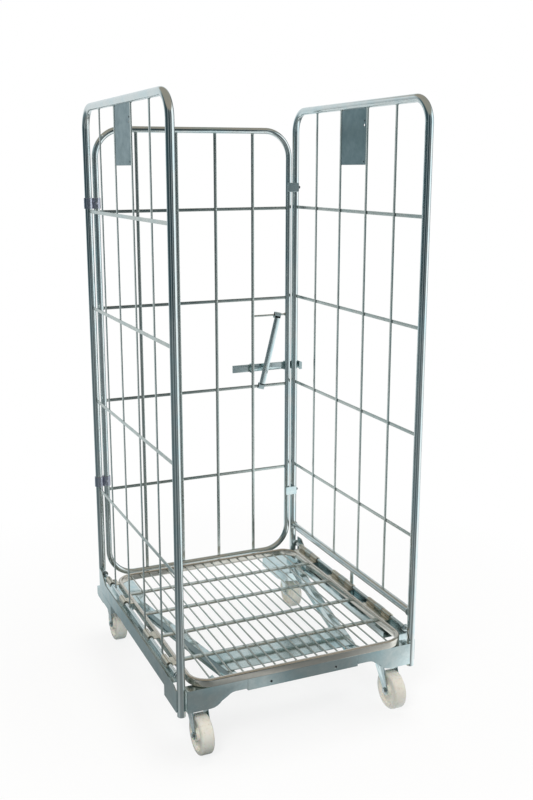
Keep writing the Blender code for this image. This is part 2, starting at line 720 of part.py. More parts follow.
def latch_bar():
    """A flat sliding bar with a C-shaped hook at its right end and a stud for the lever."""
    low, high = LATCH_Z - LATCH_HEIGHT / 2, LATCH_Z + LATCH_HEIGHT / 2
    hook_x = LATCH_TIP_X - SHEET
    lip_x = LATCH_TIP_X - LATCH_LIP
    outline = [
        (LATCH_START_X, LATCH_Y),
        (hook_x, LATCH_Y),
        (hook_x, LATCH_LIP_Y + SHEET),
        (lip_x, LATCH_LIP_Y + SHEET),
        (lip_x, LATCH_LIP_Y),
        (LATCH_TIP_X, LATCH_LIP_Y),
        (LATCH_TIP_X, LATCH_Y + SHEET),
        (LATCH_START_X, LATCH_Y + SHEET),
    ]
    bar = plate("latch_bar", "XY", [outline], low, high, PRESSED)
    stud = ((STUD_X, STUD_FRONT_Y, LATCH_Z), (STUD_X, LATCH_Y + WELD, LATCH_Z))
    return united(bar, rods("latch_stud", [stud], 0.003, sides=12))


def latch_lever():
    """A flat strap that turns on the third gate bar, with a loop that slides along the short bar."""
    sheet = 0.002
    length = math.hypot(LEVER_RISE, LEVER_TOP_X - LEVER_PIVOT_X)
    lean = Matrix.Translation((LEVER_PIVOT_X, 0, GATE_BARS_Z[2])) @ Matrix.Rotation(LEVER_TILT, 4, "Y")
    rise = (LATCH_Z - GATE_BARS_Z[2]) / math.cos(LEVER_TILT)
    slot = rounded_rectangle((-0.0037, rise - 0.009), (0.0037, rise + 0.009), 0.0036, steps=4)
    half = LEVER_HALF_WIDTH
    body = rounded_rectangle((-half, 0.004), (half, length - 0.004), 0.002, steps=2)
    strap = plate("latch_lever", "XZ", [body, slot], LEVER_Y - sheet, LEVER_Y, PRESSED, turn=lean)
    lower_back = GATE_BAR_Y + STRIP_SHEET / 2 + 0.0010
    upper_back = SHORT_BAR_Y + SHORT_BAR_R + 0.0010
    ends = (("lower", -0.0086, 0.0086, lower_back), ("upper", length - 0.0110, length + 0.0068, upper_back))
    loops = []
    for word, below, above, back in ends:
        inner_low, inner_high = (LEVER_Y, below), (back, above)
        outer_low, outer_high = (LEVER_Y - sheet, below - sheet), (back + sheet, above + sheet)
        outline = rounded_rectangle(outer_low, outer_high, 0.003, steps=3)
        hole = rounded_rectangle(inner_low, inner_high, 0.0012, steps=3)
        loops.append(plate(f"lever_{word}_loop", "YZ", [outline, hole], -half, half, turn=lean))
    return united(strap, *loops)


def rear_gate():
    straps_axis = pivot("strap_axis", (-PANEL_X, UPRIGHT_Y, 0))
    hang_all(hinge_straps(), straps_axis)
    gate_axis = pivot("gate_axis", (-GATE_X, UPRIGHT_Y, 0), straps_axis)
    hang_all(gate(), gate_axis)
    hang_all([latch_bar()], pivot("latch_slide", (STUD_X, LATCH_Y, LATCH_Z), gate_axis))
    lever_place = (LEVER_PIVOT_X, GATE_BAR_Y, GATE_BARS_Z[2])
    hang_all([latch_lever()], pivot("lever_axis", lever_place, gate_axis))


# ---- Casters ----
def caster(word, x, y):
    """A swivel caster whose fork trails towards the front."""
    plate_low, boss_low, fork_low = 0.1290, 0.1255, 0.1190
    x_low, x_high = x - 0.036, x + 0.036
    if y > 0:
        x_low, x_high = sorted((x - math.copysign(0.050, x), math.copysign(RAIL_X + SHEET / 2, x)))
    outline = rounded_rectangle((x_low, y - 0.036), (x_high, y + 0.038), 0.008, steps=3)
    mount = plate(f"{word}_caster_plate", "XY", [outline], plate_low, PLATE_Z - GAP, PRESSED)
    boss = ((x, y, boss_low), (x, y, plate_low + WELD))
    united(mount, rods(f"{word}_caster_boss", [boss], 0.022, sides=20))

    swivel = pivot(f"{word}_swivel_axis", (x, y, 0))
    axle_y = y - CASTER_TRAIL
    crown = ((x, y, fork_low), (x, y, boss_low - GAP))
    fork = rods(f"{word}_fork", [crown], 0.026, sides=20, finish=PRESSED)
    leg_outline = (
        [(y + 0.018, boss_low - 0.001), (y - 0.025, boss_low - 0.001)]
        + arc((axle_y, WHEEL_R), 0.013, 175, 375, steps=8)
        + [(y + 0.018, fork_low - 0.012)]
    )
    for side in (-1, 1):
        low, high = sorted((x + side * LEG_INNER_X, x + side * (LEG_INNER_X + LEG_THICKNESS)))
        united(fork, plate(f"{word}_leg_{side + 1}", "YZ", [leg_outline], low, high))
    bore = ((x - 0.05, axle_y, WHEEL_R), (x + 0.05, axle_y, WHEEL_R))
    cut(fork, rods(f"{word}_axle_hole", [bore], AXLE_R + GAP, sides=16))
    hang_all([fork, axle(word, x, axle_y)], swivel)
    hang_all([wheel(word, x, axle_y)], pivot(f"{word}_axle_axis", (x, axle_y, WHEEL_R), swivel))


def axle(word, x, y):
    """The axle bolt: its shank, the sleeve that the wheel turns on, and a hexagon at each end."""
    outside = LEG_INNER_X + LEG_THICKNESS + GAP
    reach = outside + 0.005
    ends = (x - reach + WELD, y, WHEEL_R), (x + reach - WELD, y, WHEEL_R)
    shank = rods(f"{word}_axle", [ends], AXLE_R, sides=16, finish=ZINC)
    sleeve = ((x - LEG_INNER_X + GAP, y, WHEEL_R), (x + LEG_INNER_X - GAP, y, WHEEL_R))
    united(shank, rods(f"{word}_sleeve", [sleeve], SLEEVE_R, sides=16))
    hexagons = [((x + s * outside, y, WHEEL_R), (x + s * reach, y, WHEEL_R)) for s in (-1, 1)]
    return united(shank, rods(f"{word}_axle_hexagons", hexagons, 0.0085, sides=6))


def wheel(word, x, y):
    """A nylon wheel turned from its half section: hub, sunk web, rim and round tread."""
    bore = SLEEVE_R + GAP
    half = WHEEL_HALF_WIDTH
    crown = arc((WHEEL_R - 0.006, half - 0.006), 0.006, 0, 80, steps=3)
    hub = [(bore, HUB_HALF_WIDTH), (0.016, HUB_HALF_WIDTH)]
    web = [(0.018, WEB_HALF_WIDTH), (0.040, WEB_HALF_WIDTH)]
    upper = hub + web + [(0.042, half), *reversed(crown)]
    section = upper + [(r, -h) for r, h in reversed(upper)]
    mesh = bpy.data.meshes.new(f"{word}_wheel")
    bm = bmesh.new()
    verts = [bm.verts.new((r, 0, h)) for r, h in section]
    for first, second in zip(verts, verts[1:] + verts[:1]):
        bm.edges.new((first, second))
    bm.to_mesh(mesh)
    bm.free()
    obj = put(bpy.data.objects.new(f"{word}_wheel", mesh), finish=NYLON)
    obj.location = (x, y, WHEEL_R)
    obj.rotation_euler = (0, math.pi / 2, 0)
    turned = obj.modifiers.new("turned", "SCREW")
    turned.axis = "Z"
    turned.angle = 2 * math.pi
    turned.steps = 28
    turned.render_steps = 28
    turned.use_merge_vertices = True
    turned.merge_threshold = 0.0001
    turned.use_smooth_shade = True
    return obj


# ---- Assembly ----
side_panel(-1, "left", RODS_Z + ROD_R + GAP)
side_panel(1, "right", LOWER_TUBE_Z + TUBE_R + GAP)
lower_side_tube()
for hand, hand_word in ((-1, "left"), (1, "right")):
    side_rail(hand, hand_word)
    corner_wing(hand, hand_word)
    rear_housing(hand, hand_word)
    diagonal(hand, hand_word)
front_rail()
cross_plate()
base_rings()
deck_rods()
deck()
rear_gate()
gate_stops()
for caster_word, (caster_x, caster_y) in CASTERS.items():
    caster(caster_word, caster_x, caster_y)
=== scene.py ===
"""Looks of the roll cage container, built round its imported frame."""

import json
import math

import bmesh
import bpy
from mathutils import Euler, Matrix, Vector


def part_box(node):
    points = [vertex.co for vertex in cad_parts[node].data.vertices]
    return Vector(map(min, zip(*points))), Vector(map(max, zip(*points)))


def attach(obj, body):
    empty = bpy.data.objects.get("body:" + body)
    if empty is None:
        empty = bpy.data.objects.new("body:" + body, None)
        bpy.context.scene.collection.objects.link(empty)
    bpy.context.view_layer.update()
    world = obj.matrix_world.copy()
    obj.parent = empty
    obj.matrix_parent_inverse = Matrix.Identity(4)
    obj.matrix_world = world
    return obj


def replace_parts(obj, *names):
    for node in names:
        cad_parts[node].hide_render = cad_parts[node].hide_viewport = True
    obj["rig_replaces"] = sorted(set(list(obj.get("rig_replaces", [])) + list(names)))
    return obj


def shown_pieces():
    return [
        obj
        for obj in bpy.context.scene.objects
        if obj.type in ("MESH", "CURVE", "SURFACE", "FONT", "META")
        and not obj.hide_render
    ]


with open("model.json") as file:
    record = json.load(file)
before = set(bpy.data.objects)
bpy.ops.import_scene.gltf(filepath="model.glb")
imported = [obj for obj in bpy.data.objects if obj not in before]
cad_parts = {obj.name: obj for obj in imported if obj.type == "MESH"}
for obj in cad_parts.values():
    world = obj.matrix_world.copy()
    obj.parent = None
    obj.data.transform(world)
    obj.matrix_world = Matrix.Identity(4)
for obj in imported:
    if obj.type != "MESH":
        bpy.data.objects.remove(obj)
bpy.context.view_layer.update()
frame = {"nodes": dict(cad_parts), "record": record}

NODES = frame["nodes"]
BODY_OF = {n: body for body, nodes in frame["record"]["behaviour"]["bodies"].items() for n in nodes}
SLOT_OF = {row["node"]: row["material_slot"] for row in frame["record"]["subparts"]}

# ---- Sizes, in metres ----
PANEL_BEND = 0.065
GATE_BEND = 0.085
WALL = 0.0015
STRIP_HALF = 0.005
STRIP_SHEET = 0.003
SHORT_BAR_R = 0.0032
WIRE_BITE = 0.0010
WELD = 0.0006
PANEL_BARS_Z = [1.380 - 0.292 * row for row in range(4)]
GATE_BARS_Z = [1.377 - 0.2935 * row for row in range(4)]
SHORT_BAR_Z = 1.027
DECK_WIRE_R = 0.0023
DECK_WIRES = 18
DECK_WIRE_PITCH = 0.0312
DECK_STRIPS_Y = [0.203 - 0.1535 * row for row in range(4)]
DECK_STRIP_HALF = 0.010
DECK_CORNER = 0.060
DECK_RIM_WIDTH = 0.012
DECK_STRIP_SHEET = 0.003
LATCH_Z = 0.851
LEVER_PIVOT_X = 0.223
LEVER_TOP_X = 0.283
LEVER_SHEET = 0.002
LEVER_HALF_WIDTH = 0.0105
RAIL_HOLES_X = (-0.097, 0.097)
RAIL_HOLE_Z = 0.173
SPOT_WELD = (0.0026, 0.0005)  # radius and height
ROUND = 32  # sides of a tube
BEND_STEPS = 26

# ---- Colours of the studio ----
WHITE = (1.0, 1.0, 1.0, 1.0)
CEILING_COLOUR = (0.36, 0.33, 0.28, 1.0)
FLOOR_REFLECTED = (0.72, 0.79, 0.80, 1.0)


# ---- Materials ----
def nodes_of(name):
    """A new material, its node tree and its shader."""
    made = bpy.data.materials.new(name)
    made.use_nodes = True
    tree = made.node_tree
    return made, tree, tree.nodes["Principled BSDF"]


def add(tree, kind, **values):
    """A node with its sockets and properties set."""
    node = tree.nodes.new(kind)
    for key, value in values.items():
        if key in node.inputs:
            node.inputs[key].default_value = value
        else:
            setattr(node, key, value)
    return node


def stretched(tree, scale):
    """Object coordinates, drawn out by a scale for each axis."""
    place = add(tree, "ShaderNodeTexCoord")
    mapping = add(tree, "ShaderNodeMapping", Scale=scale)
    tree.links.new(place.outputs["Object"], mapping.inputs["Vector"])
    return mapping.outputs["Vector"]


def noise(tree, vector, scale, detail=3.0, roughness=0.5):
    node = add(tree, "ShaderNodeTexNoise", Scale=scale, Detail=detail, Roughness=roughness)
    tree.links.new(vector, node.inputs["Vector"])
    return node.outputs["Fac"]


def ramp(tree, factor, stops):
    """A colour ramp of (place, colour) stops."""
    node = tree.nodes.new("ShaderNodeValToRGB")
    elements = node.color_ramp.elements
    while len(elements) < len(stops):
        elements.new(0.5)
    for element, (place, colour) in zip(elements, stops):
        element.position = place
        element.color = (*colour, 1.0)
    tree.links.new(factor, node.inputs["Fac"])
    return node.outputs["Color"]


def spread(tree, factor, low, high, start=0.3, end=0.7):
    """A factor mapped to a range of values."""
    node = tree.nodes.new("ShaderNodeMapRange")
    node.inputs["From Min"].default_value = start
    node.inputs["From Max"].default_value = end
    node.inputs["To Min"].default_value = low
    node.inputs["To Max"].default_value = high
    tree.links.new(factor, node.inputs["Value"])
    return node.outputs["Result"]


def mix(tree, blend, factor, first, second):
    """Two colours mixed, each of them and the factor a socket or a constant."""
    node = tree.nodes.new("ShaderNodeMix")
    node.data_type = "RGBA"
    node.blend_type = blend
    for socket, value in ((0, factor), (6, first), (7, second)):
        if isinstance(value, bpy.types.NodeSocket):
            tree.links.new(value, node.inputs[socket])
        else:
            node.inputs[socket].default_value = value
    return node.outputs[2]


def bump(tree, height, strength, distance, normal=None):
    node = add(tree, "ShaderNodeBump", Strength=strength, Distance=distance)
    tree.links.new(height, node.inputs["Height"])
    if normal is not None:
        tree.links.new(normal, node.inputs["Normal"])
    return node.outputs["Normal"]


def zinc(name, cool, warm, dull, rough, haze=0.3, grain=(1, 1, 1)):
    """Bright zinc plating: tinted passivation, drawn grain, handling scuffs and a fine orange peel."""
    made, tree, shader = nodes_of(name)
    shader.inputs["Metallic"].default_value = 1.0
    plain = stretched(tree, (1, 1, 1))
    drawn = stretched(tree, grain)
    tint = ramp(tree, noise(tree, plain, 7.0, 4.0, 0.6), [(0.30, cool), (0.52, warm), (0.74, cool)])
    cloud = noise(tree, plain, 38.0, 5.0, 0.65)
    worn = ramp(tree, cloud, [(0.42, (1, 1, 1)), (0.62, dull)])
    colour = mix(tree, "MULTIPLY", haze, tint, worn)
    scuffs = noise(tree, drawn, 140.0, 4.0, 0.7)
    rubbed = ramp(tree, scuffs, [(0.35, (0.62, 0.66, 0.68)), (0.6, (1, 1, 1))])
    colour = mix(tree, "MULTIPLY", 0.14, colour, rubbed)
    tree.links.new(colour, shader.inputs["Base Color"])
    tree.links.new(spread(tree, cloud, rough, rough + 0.09), shader.inputs["Roughness"])
    fine = bump(tree, scuffs, 0.10, 0.0002)
    broad = bump(tree, noise(tree, plain, 55.0, 2.0), 0.08, 0.0006, fine)
    tree.links.new(broad, shader.inputs["Normal"])
    return made


def nylon():
    """Cream moulded nylon: faintly mottled, scuffed on the tread, with a soft gloss."""
    made, tree, shader = nodes_of("cream_nylon")
    shader.inputs["Subsurface Weight"].default_value = 0.08
    shader.inputs["Subsurface Scale"].default_value = 0.004
    shader.inputs["Coat Weight"].default_value = 0.15
    plain = stretched(tree, (1, 1, 1))
    mottled = noise(tree, plain, 26.0, 4.0, 0.6)
    colour = ramp(tree, mottled, [(0.3, (0.94, 0.88, 0.77)), (0.7, (0.98, 0.95, 0.87))])
    marks = noise(tree, plain, 150.0, 5.0, 0.75)
    dirt = ramp(tree, marks, [(0.34, (0.72, 0.67, 0.56)), (0.46, (1, 1, 1))])
    tree.links.new(mix(tree, "MULTIPLY", 0.5, colour, dirt), shader.inputs["Base Color"])
    tree.links.new(spread(tree, marks, 0.42, 0.58), shader.inputs["Roughness"])
    tree.links.new(bump(tree, marks, 0.15, 0.0004), shader.inputs["Normal"])
    return made


def dark_steel_and_painted_shade():
    """Blackened screws and rivets, and painted shade: a dark fill for the shaded inside of holes and tubes."""
    made, tree, shader = nodes_of("dark_steel_and_painted_shade")
    shader.inputs["Metallic"].default_value = 0.9
    plain = stretched(tree, (1, 1, 1))
    mottled = noise(tree, plain, 180.0, 4.0)
    colour = ramp(tree, mottled, [(0.3, (0.045, 0.05, 0.052)), (0.7, (0.10, 0.105, 0.11))])
    tree.links.new(colour, shader.inputs["Base Color"])
    tree.links.new(spread(tree, mottled, 0.35, 0.5), shader.inputs["Roughness"])
    tree.links.new(bump(tree, mottled, 0.2, 0.0003), shader.inputs["Normal"])
    return made


MATERIALS = {
    "zinc_tube": zinc(
        "zinc_tube_bright", (0.64, 0.77, 0.79), (0.78, 0.80, 0.78), (0.84, 0.88, 0.90), 0.07, grain=(6, 6, 0.6)
    ),
    "zinc_wire": zinc("zinc_strip_bright", (0.54, 0.62, 0.60), (0.63, 0.65, 0.61), (0.80, 0.84, 0.84), 0.20),
    "zinc_pressing": zinc("zinc_pressed", (0.50, 0.67, 0.70), (0.70, 0.77, 0.76), (0.78, 0.85, 0.87), 0.12),
    "deck_zinc": zinc("zinc_deck_warm", (0.70, 0.67, 0.61), (0.76, 0.71, 0.64), (0.84, 0.82, 0.78), 0.17),
    "knuckle": zinc("zinc_yellow_passivated", (0.60, 0.57, 0.50), (0.68, 0.63, 0.53), (0.78, 0.75, 0.70), 0.12),
    "label_plate": zinc(
        "zinc_label", (0.19, 0.28, 0.29), (0.25, 0.34, 0.36), (0.78, 0.83, 0.85), 0.28, 0.6
    ),
    "hinge_strap": zinc(
        "zinc_strap_lilac", (0.52, 0.55, 0.66), (0.60, 0.60, 0.68), (0.84, 0.84, 0.90), 0.26, 0.4
    ),
    "nylon": nylon(),
}
DARK = dark_steel_and_painted_shade()


# ---- Shapes ----
def sweep(bm, path, section, normal, closed=False, caps=True):
    """A section of (across, up) points carried along a flat path whose plane has the given normal."""
    path = [Vector(p) for p in path]
    normal = Vector(normal).normalized()
    rings = []
    for i, place in enumerate(path):
        before = path[i - 1] if closed or i else place
        after = path[(i + 1) % len(path)] if closed or i + 1 < len(path) else place
        across = normal.cross(after - before).normalized()
        rings.append([bm.verts.new(place + across * u + normal * v) for u, v in section])
    pairs = list(zip(rings, rings[1:]))
    if closed:
        pairs.append((rings[-1], rings[0]))
    for first, second in pairs:
        for k in range(len(section)):
            m = (k + 1) % len(section)
            bm.faces.new((first[k], first[m], second[m], second[k]))
    if not closed and caps:
        bm.faces.new(rings[0])
        bm.faces.new(rings[-1])
    return rings


def circle(radius, sides=ROUND):
    """A circle's outline round the origin."""
    turn = 2 * math.pi / sides
    return [(radius * math.cos(i * turn), radius * math.sin(i * turn)) for i in range(sides)]


def arc(centre, radius, start, end, steps):
    """Points on an arc, with its ends in degrees."""
    angles = [math.radians(start + (end - start) * i / steps) for i in range(steps + 1)]
    return [(centre[0] + radius * math.cos(a), centre[1] + radius * math.sin(a)) for a in angles]


def rounded(half_u, half_v, radius, steps=4):
    """A rectangle's outline round the origin, with round corners."""
    points = []
    for quarter, (u, v) in enumerate(((1, 1), (-1, 1), (-1, -1), (1, -1))):
        centre = (u * (half_u - radius), v * (half_v - radius))
        points += arc(centre, radius, 90 * quarter, 90 * quarter + 90, steps)
    return points


def bent(corners, radius, closed=False):
    """A path through square corners, each rounded to a radius."""
    corners = [Vector(c) for c in corners]
    path = []
    for i, corner in enumerate(corners):
        if not closed and i in (0, len(corners) - 1):
            path.append(corner)
            continue
        before = (corners[i - 1] - corner).normalized()
        after = (corners[(i + 1) % len(corners)] - corner).normalized()
        centre = corner + (before + after) * radius
        for step in range(BEND_STEPS + 1):
            a = math.pi / 2 * step / BEND_STEPS
            path.append(centre - after * radius * math.cos(a) - before * radius * math.sin(a))
    return path


def side_of(direction):
    """Any direction square to the given one."""
    direction = Vector(direction)
    other = Vector((0, 0, 1)) if abs(direction.z) < 0.9 * direction.length else Vector((0, 1, 0))
    return direction.cross(other).normalized()


def bar(bm, start, end, radius, sides=16):
    """A straight round bar with flat ends."""
    start, end = Vector(start), Vector(end)
    sweep(bm, (start, end), circle(radius, sides), side_of(end - start))


def lathe(bm, profile, centre, axis, sides=ROUND):
    """A profile of (radius, along) points turned about an axis through a centre."""
    centre = Vector(centre)
    turn = Vector(axis).to_track_quat("Z", "Y").to_matrix()
    rings = []
    for radius, along in profile:
        if radius < 1e-6:
            rings.append([bm.verts.new(centre + turn @ Vector((0, 0, along)))])
        else:
            outline = circle(radius, sides)
            rings.append([bm.verts.new(centre + turn @ Vector((u, v, along))) for u, v in outline])
    for first, second in zip(rings, rings[1:]):
        for k in range(sides):
            m = (k + 1) % sides
            face = [first[k % len(first)], second[k % len(second)]]
            if len(second) > 1:
                face.append(second[m])
            if len(first) > 1:
                face.append(first[m])
            bm.faces.new(face)
    for ring in (rings[0], rings[-1]):
        if len(ring) > 1:
            bm.faces.new(ring)


def turned_ring(bm, profile, centre, axis, sides=ROUND):
    """A closed profile turned about an axis, with a hole through it."""
    centre = Vector(centre)
    turn = Vector(axis).to_track_quat("Z", "Y").to_matrix()
    rings = [
        [bm.verts.new(centre + turn @ Vector((u, v, along))) for u, v in circle(radius, sides)]
        for radius, along in profile
    ]
    for first, second in zip(rings, rings[1:] + rings[:1]):
        for k in range(sides):
            m = (k + 1) % sides
            bm.faces.new((first[k], second[k], second[m], first[m]))


def weld_collar(bm, place, direction, radius):
    """The flared bead where a wire's end is welded to a tube."""
    wide, length = radius * 1.75, radius * 1.7
    foot = [(wide, -0.0008), (wide * 0.98, 0.0003)]
    profile = foot + [(radius * 1.35, length * 0.4), (radius * 1.02, length)]
    lathe(bm, profile, place, direction, sides=14)


def strip(bm, start, end, normal):
    """A flat strip between two welds, with a bead across each end."""
    start, end, normal = Vector(start), Vector(end), Vector(normal)
    run = (end - start).normalized()
    across = normal.cross(run)
    section = rounded(STRIP_HALF, STRIP_SHEET / 2, 0.0009, 3)
    sweep(bm, (start - run * WIRE_BITE, end + run * WIRE_BITE), section, normal)
    for place, inward in ((start, run), (end, -run)):
        for side in (-1, 1):
            centre = place + inward * 0.0004 + normal * side * 0.0012
            bar(bm, centre - across * 0.0046, centre + across * 0.0046, 0.0014, 8)


def dome(bm, place, axis, radius, height):
    """A low round head, as of a rivet or a spot weld."""
    profile = [(radius, 0.0)] + [(radius * math.cos(a), height * math.sin(a)) for a in (0.3, 0.7, 1.1)]
    lathe(bm, [(radius, -0.001), *profile, (0.0, height)], place, axis, sides=20)


def piece(name, bm, body, slot, replaces=(), finish=None, sharp=35):
    """A finished piece of the visual, on its body and in its material slot."""
    bmesh.ops.recalc_face_normals(bm, faces=bm.faces)
    mesh = bpy.data.meshes.new(name)
    bm.to_mesh(mesh)
    bm.free()
    mesh.shade_smooth()
    mesh.set_sharp_from_angle(angle=math.radians(sharp))
    mesh.materials.append(finish or MATERIALS[slot])
    obj = bpy.data.objects.new(name, mesh)
    bpy.context.scene.collection.objects.link(obj)
    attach(obj, body)
    if replaces:
        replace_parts(obj, *replaces)
    return obj


def formed(node, width=0.0006):
    """A CAD node's shape with its sharp edges rounded as sheet metal's are."""
    bm = bmesh.new()
    bm.from_mesh(NODES[node].data)
    bmesh.ops.remove_doubles(bm, verts=bm.verts, dist=0.00002)
    bmesh.ops.dissolve_limit(bm, angle_limit=math.radians(1), verts=bm.verts, edges=bm.edges)
    made = piece(f"{node}_formed", bm, BODY_OF[node], SLOT_OF[node], replaces=[node])
    rounding = made.modifiers.new("rounded_edges", "BEVEL")
    rounding.width = width
    rounding.segments = 2
    rounding.limit_method = "ANGLE"
    rounding.angle_limit = math.radians(40)


# ---- Side panels and gate ----
def middle(node):
    """The middle of a CAD node's box."""
    low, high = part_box(node)
    return (low + high) / 2


def panel(side, word):
    """A fixed side panel: the bent tube, open at its feet, and its mesh of strips."""
    low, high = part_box(f"{word}_panel_frame")
    x = (low.x + high.x) / 2
    radius = (high.x - low.x) / 2
    reach, top = high.y - radius, high.z - radius
    front_foot, rear_foot = low.z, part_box(f"{word}_rear_corner")[0].z + 0.005
    bm = bmesh.new()
    corners = ((x, -reach, front_foot), (x, -reach, top), (x, reach, top), (x, reach, rear_foot))
    path = bent(corners, PANEL_BEND)
    outside = sweep(bm, path, circle(radius), (1, 0, 0), caps=False)
    inside = sweep(bm, path, circle(radius - WALL), (1, 0, 0), caps=False)
    for outer, inner in ((outside[0], inside[0]), (outside[-1], inside[-1])):
        for k in range(ROUND):
            m = (k + 1) % ROUND
            bm.faces.new((outer[k], outer[m], inner[m], inner[k]))
    piece(f"{word}_panel_tube", bm, "base", "zinc_tube", [f"{word}_panel_frame"])

    mesh_low, mesh_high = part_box(f"{word}_panel_mesh")
    outer_x = (mesh_high.x if side > 0 else mesh_low.x) - side * STRIP_SHEET / 2
    inner_x = (mesh_low.x if side > 0 else mesh_high.x) + side * STRIP_SHEET / 2
    face = reach - radius
    bottom = mesh_low.z - 0.0003
    ceiling = top - radius
    bm = bmesh.new()
    for z in PANEL_BARS_Z:
        strip(bm, (outer_x, -face, z), (outer_x, face, z), (1, 0, 0))
    for column in range(4):
        y = reach * (0.6 - 0.4 * column)
        strip(bm, (inner_x, y, bottom), (inner_x, y, ceiling), (1, 0, 0))
        for z in PANEL_BARS_Z:
            dome(bm, (inner_x - side * STRIP_SHEET / 2, y, z), (-side, 0, 0), *SPOT_WELD)
    piece(f"{word}_panel_strips", bm, "base", "zinc_wire", [f"{word}_panel_mesh"])


def gate():
    """The rear gate: its closed tube, its mesh and the short bar behind the lever."""
    low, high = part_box("gate_frame")
    radius = (high.y - low.y) / 2
    y = (low.y + high.y) / 2
    x, bottom, top = high.x - radius, low.z + radius, high.z - radius
    corners = ((x, y, top), (-x, y, top), (-x, y, bottom), (x, y, bottom))
    bm = bmesh.new()
    sweep(bm, bent(corners, GATE_BEND, closed=True), circle(radius), (0, 1, 0), closed=True)
    piece("gate_tube", bm, "gate", "zinc_tube", ["gate_frame"])

    mesh_low, mesh_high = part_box("gate_mesh")
    inner_y = mesh_low.y + STRIP_SHEET / 2
    outer_y = inner_y + STRIP_SHEET - WELD
    short_y = mesh_high.y - SHORT_BAR_R
    face = x - radius
    columns = [x * (-0.6 + 0.4 * column) for column in range(4)]
    bm = bmesh.new()
    for z in GATE_BARS_Z:
        strip(bm, (-face, outer_y, z), (face, outer_y, z), (0, 1, 0))
    for column in columns:
        strip(bm, (column, inner_y, bottom + radius), (column, inner_y, top - radius), (0, 1, 0))
        for z in GATE_BARS_Z:
            dome(bm, (column, inner_y - STRIP_SHEET / 2, z), (0, -1, 0), *SPOT_WELD)
    start, end = (columns[3] - 0.003, short_y, SHORT_BAR_Z), (face + WIRE_BITE, short_y, SHORT_BAR_Z)
    bar(bm, start, end, SHORT_BAR_R)
    weld_collar(bm, (face, short_y, SHORT_BAR_Z), (-1, 0, 0), SHORT_BAR_R)
    piece("gate_strips", bm, "gate", "zinc_wire", ["gate_mesh"])


def straight_bars():
    """The lower right tube and the two deck rods, with chamfered ends."""
    for node in ("right_panel_lower_tube", "left_deck_rod", "right_hinge_rod"):
        low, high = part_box(node)
        radius = (high.z - low.z) / 2
        centre = (low + high) / 2
        half = (high.y - low.y) / 2
        bm = bmesh.new()
        edge = 0.0008
        profile = [(radius - edge, -half), (radius, -half + edge), (radius, half - edge), (radius - edge, half)]
        lathe(bm, profile, centre, (0, 1, 0))
        if node == "right_panel_lower_tube":
            for end in (-1, 1):
                weld_collar(bm, centre + Vector((0, end * half, 0)), (0, -end, 0), radius * 0.72)
        piece(f"{node}_turned", bm, "base", "zinc_tube", [node])


# ---- Deck ----
def deck():
    """The folding deck: its rim, its wires and the flat strips under them."""
    low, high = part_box("deck_frame")
    half_height = (high.z - low.z) / 2
    z = (low.z + high.z) / 2
    inset = DECK_RIM_WIDTH / 2
    corners = (
        (high.x - inset, high.y - inset, z),
        (low.x + inset, high.y - inset, z),
        (low.x + inset, low.y + inset, z),
        (high.x - inset, low.y + inset, z),
    )
    path = bent(corners, DECK_CORNER - inset, closed=True)
    bm = bmesh.new()
    sweep(bm, path, rounded(inset, half_height, 0.0038), (0, 0, 1), closed=True)
    piece("deck_rim", bm, "deck", "deck_zinc", ["deck_frame"])

    mesh_low, mesh_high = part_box("deck_mesh")
    wire_z = mesh_high.z - DECK_WIRE_R
    front, rear = low.y + DECK_RIM_WIDTH, high.y - DECK_RIM_WIDTH
    bm = bmesh.new()
    first = -DECK_WIRE_PITCH * (DECK_WIRES - 1) / 2
    for index in range(DECK_WIRES):
        x = first + DECK_WIRE_PITCH * index
        bar(bm, (x, front - WIRE_BITE, wire_z), (x, rear + WIRE_BITE, wire_z), DECK_WIRE_R)
        weld_collar(bm, (x, front, wire_z), (0, 1, 0), DECK_WIRE_R)
        weld_collar(bm, (x, rear, wire_z), (0, -1, 0), DECK_WIRE_R)
    inner = high.x - DECK_RIM_WIDTH
    section = rounded(DECK_STRIP_HALF, DECK_STRIP_SHEET / 2, 0.0009, 2)
    middle_z = mesh_low.z + DECK_STRIP_SHEET / 2
    for y in DECK_STRIPS_Y:
        ends = ((-inner - WIRE_BITE, y, middle_z), (inner + WIRE_BITE, y, middle_z))
        sweep(bm, ends, section, (0, 0, 1))
        for end in (-1, 1):
            bead = [(end * inner, y + s * (DECK_STRIP_HALF - 0.001), middle_z + 0.001) for s in (-1, 1)]
            bar(bm, bead[0], bead[1], 0.0019, 10)
    piece("deck_wires", bm, "deck", "zinc_wire", ["deck_mesh"])


